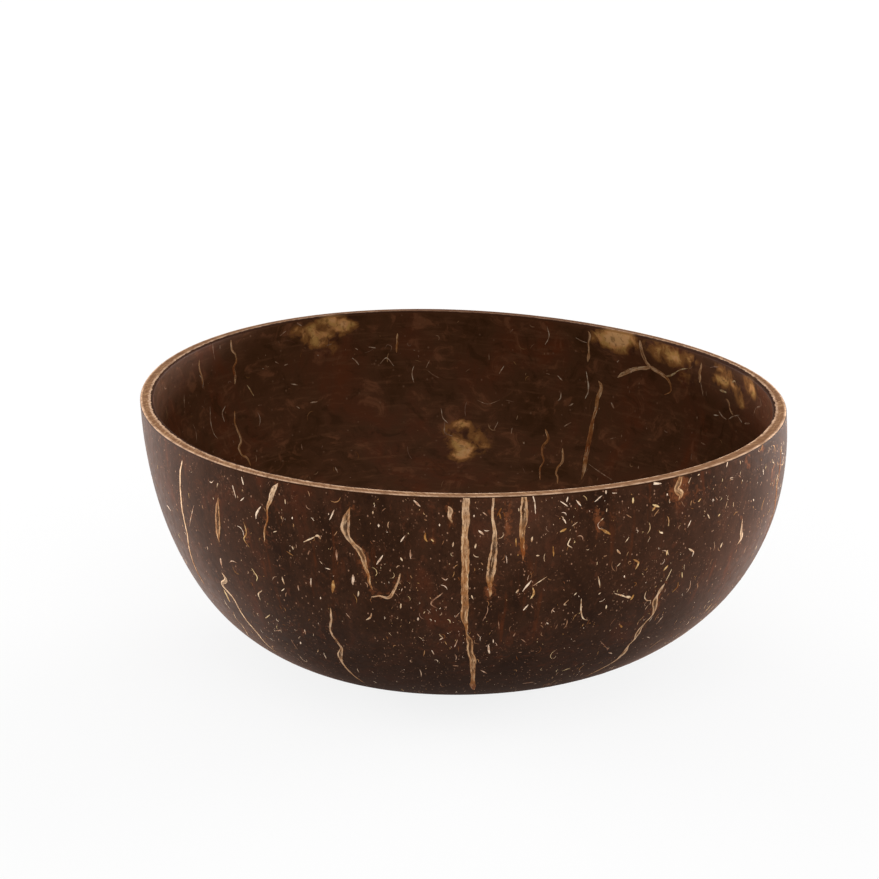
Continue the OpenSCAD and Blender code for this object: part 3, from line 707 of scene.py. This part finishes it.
def grain_of(rows):
    """Places unrolled along the wall, so that patterns follow the bowl's curve. The way round gets shorter
    towards the foot and the middle of the floor, as it does on the bowl."""
    runs = [0.0]
    for before, row in zip(rows, rows[1:]):
        runs.append(runs[-1] + np.linalg.norm(row[0] - before[0], axis=-1).mean())
    grain = []
    for (points, part, _), run in zip(rows, runs):
        if part != "foot":
            radius = min(MEAN_R, run, runs[-1] - run)
            level = np.full(COLUMNS, run + GRAIN_LIFT[part])
            points = np.column_stack([radius * np.cos(AROUND), radius * np.sin(AROUND), level])
        grain.append(points)
    return np.concatenate(grain)


def patch_strength(points, table, face, inner):
    """How strong the patches of a table are at each point of a face."""
    total = np.zeros(len(points))
    for x, y, half_w, half_h, strength in table:
        centre, side, below = (face(*place_of_pixel(*pixel, inner))
                               for pixel in ((x, y), (x + half_w, y), (x, y + half_h)))
        offset = points - centre
        level = np.linalg.norm(offset[:, :2], axis=-1) / np.linalg.norm(side - centre)
        rise = offset[:, 2] / np.linalg.norm(below - centre)
        total += strength * np.exp(-(level ** 2 + rise ** 2))
    return total


def near_strands(points):
    """How near each point is to a strand of the outer face, from 0 to 1."""
    nearest = np.full(len(points), np.inf)
    for azimuth, share, *_ in sum(OUTER_STRANDS, []):
        away = points - outer_point(math.radians(azimuth), share * BOWL_H)
        nearest = np.minimum(nearest, (away ** 2).sum(-1))
    return np.exp(-nearest / HALO_REACH ** 2)


def make_shell():
    rows = shell_rows()
    grain = grain_of(rows)
    points, parts, inset = zip(*rows)
    points, parts, inset = np.concatenate(points), np.repeat(parts, COLUMNS), np.concatenate(inset)
    turns = np.tile(AROUND, len(rows))
    azimuth, *columns = np.array(LIP).T
    width, lip_darkening = (np.interp(np.degrees(turns), azimuth, column) for column in columns)
    outside = patch_strength(points, OUTER_PATCHES, outer_point, False) + HALO * near_strands(points)
    inside = patch_strength(points, INNER_PATCHES, inner_point, True)
    inner_side = (parts == "inner") | (inset > WALL / 2)
    # Below this height the outside gets painted shade and grows duller, most on one side
    shade_and_dull_h = SHADE_AND_DULL_H * (1 + SHADE_AND_DULL_SWING * np.cos(turns - SHADE_AND_DULL_TURN))
    values_at = {"inset": inset, "margin": width - inset, "run": turns * MEAN_R, "lip_darkening": lip_darkening,
                 "patch": np.select([parts == "outer", inner_side], [outside, inside]),
                 "painted_light": patch_strength(points, PAINTED_LIGHT_PATCHES, outer_point, False),
                 "low": np.clip(1 - points[:, 2] / shade_and_dull_h, 0, 1) * (parts == "outer")}
    faces = list(grid_faces(len(rows), COLUMNS, True))
    kinds = ["foot", "outer", "rim", "inner"]
    face_slots = [max(kinds.index(parts[corner]) for corner in face[::2]) for face in faces]
    end = len(points)
    points = np.concatenate([points, [[0, 0, 0], inner_point(0.0, FLOOR_T)]])
    grain = np.concatenate([grain, [[0, 0, 0], grain[-1] * [0, 0, 1]]])
    for j, k in enumerate(np.roll(range(COLUMNS), -1)):
        faces += [[end, k, j], [end - COLUMNS + j, end - COLUMNS + k, end + 1]]
        face_slots += [0, 3]
    attributes = {"grain": grain, **{key: np.append(values, [0, 0]) for key, values in values_at.items()}}
    materials = [foot_material(), outer_material(), rim_material(), inner_material()]
    shell = new_piece("shell_body", points, faces, attributes, materials, face_slots)
    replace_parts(shell, "shell")


def smooth_path(spots, spacing):
    """Points about spacing apart on a smooth curve through the spots, whose first two columns are its places
    in mm, and how far along the curve each point lies."""
    steps = np.linalg.norm(np.diff(spots[:, :2], axis=0), axis=1)
    run = np.concatenate([[0], np.cumsum(steps)])
    slopes = np.gradient(spots, run, axis=0)
    wanted = np.linspace(0, run[-1], max(4, int(run[-1] / spacing) + 1))
    leg = np.clip(np.searchsorted(run, wanted) - 1, 0, len(run) - 2)
    h = (run[leg + 1] - run[leg])[:, None]
    t = (wanted - run[leg])[:, None] / h
    curve = ((2 * t ** 3 - 3 * t ** 2 + 1) * spots[leg] + (t ** 3 - 2 * t ** 2 + t) * h * slopes[leg]
             + (3 * t ** 2 - 2 * t ** 3) * spots[leg + 1] + (t ** 3 - t ** 2) * h * slopes[leg + 1])
    return curve, wanted


class Ribbons:
    """Collects thin raised strips on one face of the shell and makes one mesh of them. point gives the
    face's points, and out is 1 on the outer face and -1 on the inner one."""

    def __init__(self, point, out, seed):
        self.point = point
        self.out = out
        self.rng = np.random.default_rng(seed)
        self.count = 0
        self.laid = {}

    def normals(self, a, z):
        """Unit normals of the face, pointing away from the shell's matter."""
        step = 1e-3
        around = self.point(a + step, z) - self.point(a - step, z)
        up = self.point(a, np.minimum(z + step, BOWL_H)) - self.point(a, z - step)
        normal = np.cross(around, up) * self.out
        return normal / np.linalg.norm(normal, axis=-1, keepdims=True)

    def wobble(self, run, wave):
        """A smooth random swing of about 1 along a run, whose waves are about so long."""
        total = np.zeros_like(run)
        for octave in (1, 2.3, 4.1):
            total += np.sin(run * math.tau / wave * octave + self.rng.uniform(0, math.tau)) / octave
        return total / 1.4

    def lay(self, spots, shape, spacing, wander=0, ragged=0, pointed=0, fading=0.1):
        """spots are (azimuth in radians, height, half width, tone, extra). pointed is the least share of the
        length over which each end narrows, and fading is how much the tone changes along the strip."""
        spots = np.array(spots, dtype=float)
        start_blunt = spots[0, 1] > RIM_REACH * BOWL_H
        spots[:, 1] = np.clip(spots[:, 1], 0.3, BOWL_H - 0.6 * RIM_EASE)
        spots[:, 0] *= MEAN_R
        curve, run = smooth_path(spots, spacing)
        fade = np.sin(math.pi * np.clip(run / run[-1], 0, 1)) ** 0.5
        a = (curve[:, 0] + wander * self.wobble(run, 5) * fade) / MEAN_R
        z = curve[:, 1]
        middle = self.point(a, z)
        normal = self.normals(a, z)
        side = np.cross(normal, np.gradient(middle, axis=0))
        side /= np.linalg.norm(side, axis=-1, keepdims=True)
        half = np.clip(curve[:, 2], 0.03, None)
        ends = run[-1] - run if start_blunt else np.minimum(run[-1] - run, run)
        taper = np.clip(ends / max(2.5 * half.max(), pointed * run[-1]), 0, 1) ** 0.5
        half *= 0.12 + 0.88 * taper
        left = half * (1 + ragged * self.wobble(run, 2.6))
        right = half * (1 + ragged * self.wobble(run, 2.3))
        tone = np.clip(curve[:, 3] + fading * self.wobble(run, 3), 0, 1)
        x, heights = np.array(shape)
        reach = np.where(x < 0, left[:, None], right[:, None]) * x
        lift = heights * (0.35 + 0.65 * taper[:, None])
        grid = middle[:, None] + side[:, None] * reach[..., None] + normal[:, None] * lift[..., None]
        rows, cols = len(run), len(x)
        quads = grid_faces(rows, cols, False) + self.count
        self.count += rows * cols
        offset = self.rng.uniform(0, 500)
        strip = {"points": grid.reshape(-1, 3), "faces": quads if self.out > 0 else quads[:, ::-1],
                 "across": np.tile(x, rows), "tone": np.repeat(tone, cols),
                 "extra": np.repeat(np.clip(curve[:, 4], 0, 1), cols),
                 "fibre": np.column_stack([reach.ravel(), np.repeat(run + offset, cols),
                                           np.full(rows * cols, offset)])}
        for key, values in strip.items():
            self.laid.setdefault(key, []).append(values)

    def make(self, name, slot, material):
        whole = {key: np.concatenate(values) for key, values in self.laid.items()}
        return new_piece(name, whole.pop("points"), whole.pop("faces"), whole, [material])


def enriched(strand, rng):
    """A strand that the photograph doesn't show, with more changes of width and colour along it."""
    strand = np.array(strand)
    places = np.arange(len(strand))
    finer = np.linspace(0, len(strand) - 1, 3 * len(strand))
    spots = np.stack([np.interp(finer, places, column) for column in strand.T], -1)
    inside = np.minimum(finer, finer[::-1]) > 0
    spots[:, 0] += rng.normal(0, 0.22, len(spots)) * inside
    spots[:, 2] *= rng.uniform(0.45, 1.2, len(spots))
    spots[:, 3] += rng.normal(0, 0.18, len(spots))
    spots[:, 4] += rng.normal(0, 0.3, len(spots))
    spots[:, 3:] = np.clip(spots[:, 3:], 0, 1)
    return spots


def make_strands(ribbons, name, node, slot, table, shown, width, dim):
    for number, strand in enumerate(table):
        if number >= shown:
            strand = enriched(strand, ribbons.rng)
        spots = [(math.radians(azimuth), share * BOWL_H, share_w * width / 2, tone, core)
                 for azimuth, share, share_w, tone, core in strand]
        ribbons.lay(spots, STRAND_SHAPE, spacing=0.25, wander=0.08, ragged=0.06)
    material = fibre_material("fibre_" + slot, dim)
    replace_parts(ribbons.make(name, slot, material), node)


def lay_marks(ribbons, table, inner):
    """The small fibres that the photograph shows, on the face that carries them."""
    for tone, hue, marks in table:
        for width, *pixels in rows_of(marks):
            pixels = list(zip(pixels[::2], pixels[1::2]))
            if len(pixels) == 1:
                x, y = pixels[0]
                pixels = [(x, y - 0.4 * width), (x, y + 0.4 * width)]
            turns, heights = zip(*(place_of_pixel(x, y, inner) for x, y in pixels))
            half = max(width * MARK_SHARE, MARK_LEAST) * CAMERA_DISTANCE / FOCAL_PIXELS / 2
            shown = np.clip(tone + ribbons.rng.normal(0, 0.15), 0, 1)
            spots = [(turn, z, half, shown, hue) for turn, z in zip(np.unwrap(turns), heights)]
            ribbons.lay(spots, MARK_SHAPE, spacing=0.18, wander=0.04, ragged=0.18, pointed=0.45, fading=0.25)


def scatter(ribbons, kinds, count, low, high, upright, tones):
    """Random small fibres, about half of them in loose clusters."""
    rng = ribbons.rng
    centres = rng.uniform((0, low), (math.tau, high), (CLUSTERS, 2))
    shares = [kind[0] for kind in kinds]
    for _ in range(count):
        a, z = rng.uniform((0, low), (math.tau, high))
        if rng.uniform() < 0.5:
            spread = rng.normal(0, CLUSTER_SPREAD, 2)
            a, z = centres[rng.integers(CLUSTERS)] + spread / (MEAN_R, 1)
        _, short, long, narrow, wide = kinds[rng.choice(len(kinds), p=shares)]
        length = rng.uniform(short, long)
        half = rng.uniform(narrow, wide) / 2
        lean = rng.normal(0, upright)
        bend = rng.normal(0, 0.9)
        tone = np.clip(rng.normal(*tones), 0, 1)
        hue = rng.uniform(0, 1) ** 1.6
        spots = []
        for step in (-0.5, -0.17, 0.17, 0.5):
            turn = lean + bend * step
            spots.append((a + math.sin(turn) * length * step / MEAN_R, z + math.cos(turn) * length * step,
                          half, tone, hue))
        heights = [spot[1] for spot in spots]
        dense = 0.6 + 0.4 * math.cos(2 * a - 2 * DENSE_TURN)
        if rng.uniform() < dense and min(heights) > low and max(heights) < high:
            ribbons.lay(spots, FLECK_SHAPE, spacing=0.3, pointed=0.35)


def make_flecks():
    outer = Ribbons(outer_point, 1, 5)
    lay_marks(outer, OUTER_MARKS, False)
    scatter(outer, OUTER_KINDS, count=4300, low=0.8, high=BOWL_H - 0.6, upright=0.6, tones=(0.52, 0.33))
    outer.make("outer_flecks", "strands", fleck_material("pale_flecks", 1))
    inner = Ribbons(inner_point, -1, 6)
    lay_marks(inner, INNER_MARKS, True)
    scatter(inner, INNER_KINDS, count=900, low=6, high=BOWL_H - 1.5, upright=1.3, tones=(0.2, 0.2))
    inner.make("inner_flecks", "veins", fleck_material("dim_flecks", 0.7))


def add_camera():
    camera = add_object("camera", bpy.data.cameras.new("camera"))
    camera.location = CAMERA_PLACE * MM
    camera.rotation_euler = (math.pi / 2 - CAMERA_DOWN_ANGLE, 0, CAMERA_TURN)
    camera.data.sensor_width = SENSOR
    camera.data.lens = FOCAL_PIXELS / PICTURE * SENSOR
    camera.data.clip_end = 20
    bpy.context.scene.camera = camera


def add_world():
    n = Nodes("studio", owners=bpy.data.worlds)
    background = n.tree.nodes["Background"]
    shown = n.mix(n.shown_as_background(), (*[ROOM_LIGHT] * 3, 1), (1, 1, 1, 1))
    n.put(background.inputs["Color"], shown)
    background.inputs["Strength"].default_value = 1
    bpy.context.scene.world = n.owner


def add_floor():
    """A floor that shows white and keeps the bowl's shadow."""
    mesh = bpy.data.meshes.new("floor")
    half = FLOOR_HALF
    corners = [(-half, -half, 0), (half, -half, 0), (half, half, 0), (-half, half, 0)]
    mesh.from_pydata(corners, [], [(0, 1, 2, 3)])
    n = Nodes("white_floor")
    n.base = (0.75, 0.75, 0.75, 1)
    mesh.materials.append(n.finish(0.0, Roughness=0.9))
    plain = n.tree.nodes["Principled BSDF"].outputs[0]
    glow = n.add("Emission", {}).outputs[0]
    both = n.add("MixShader", {0: n.times(n.shown_as_background(), 0.85), 1: plain, 2: glow}).outputs[0]
    n.put(n.tree.nodes["Material Output"].inputs["Surface"], both)
    floor = add_object("floor", mesh)


def add_lamps():
    for name, kind, power, place in LAMPS:
        lamp = bpy.data.lights.new(name, kind)
        lamp.energy = power
        if kind == "AREA":
            lamp.shape = "RECTANGLE"
            lamp.size, lamp.size_y = BOX_SIZE
        else:
            lamp.angle = SKY_ANGLE
        piece = add_object(name, lamp)
        piece.location = place
        x, y, z = np.subtract(LAMP_TARGET, place)
        piece.rotation_euler = (math.pi / 2 + math.atan2(z, math.hypot(x, y)), 0, math.atan2(-x, y))


def main():
    add_camera()
    make_shell()
    make_strands(Ribbons(outer_point, 1, 3), "strand_fibres", "outer_strands", "strands", OUTER_STRANDS,
                 STRANDS_SHOWN, STRAND_W, 1)
    make_strands(Ribbons(inner_point, -1, 4), "vein_fibres", "inner_veins", "veins", INNER_VEINS,
                 VEINS_SHOWN, VEIN_W, 0.82)
    make_flecks()
    add_world()
    add_floor()
    add_lamps()
    bpy.context.scene.view_settings.view_transform = "Standard"


main()
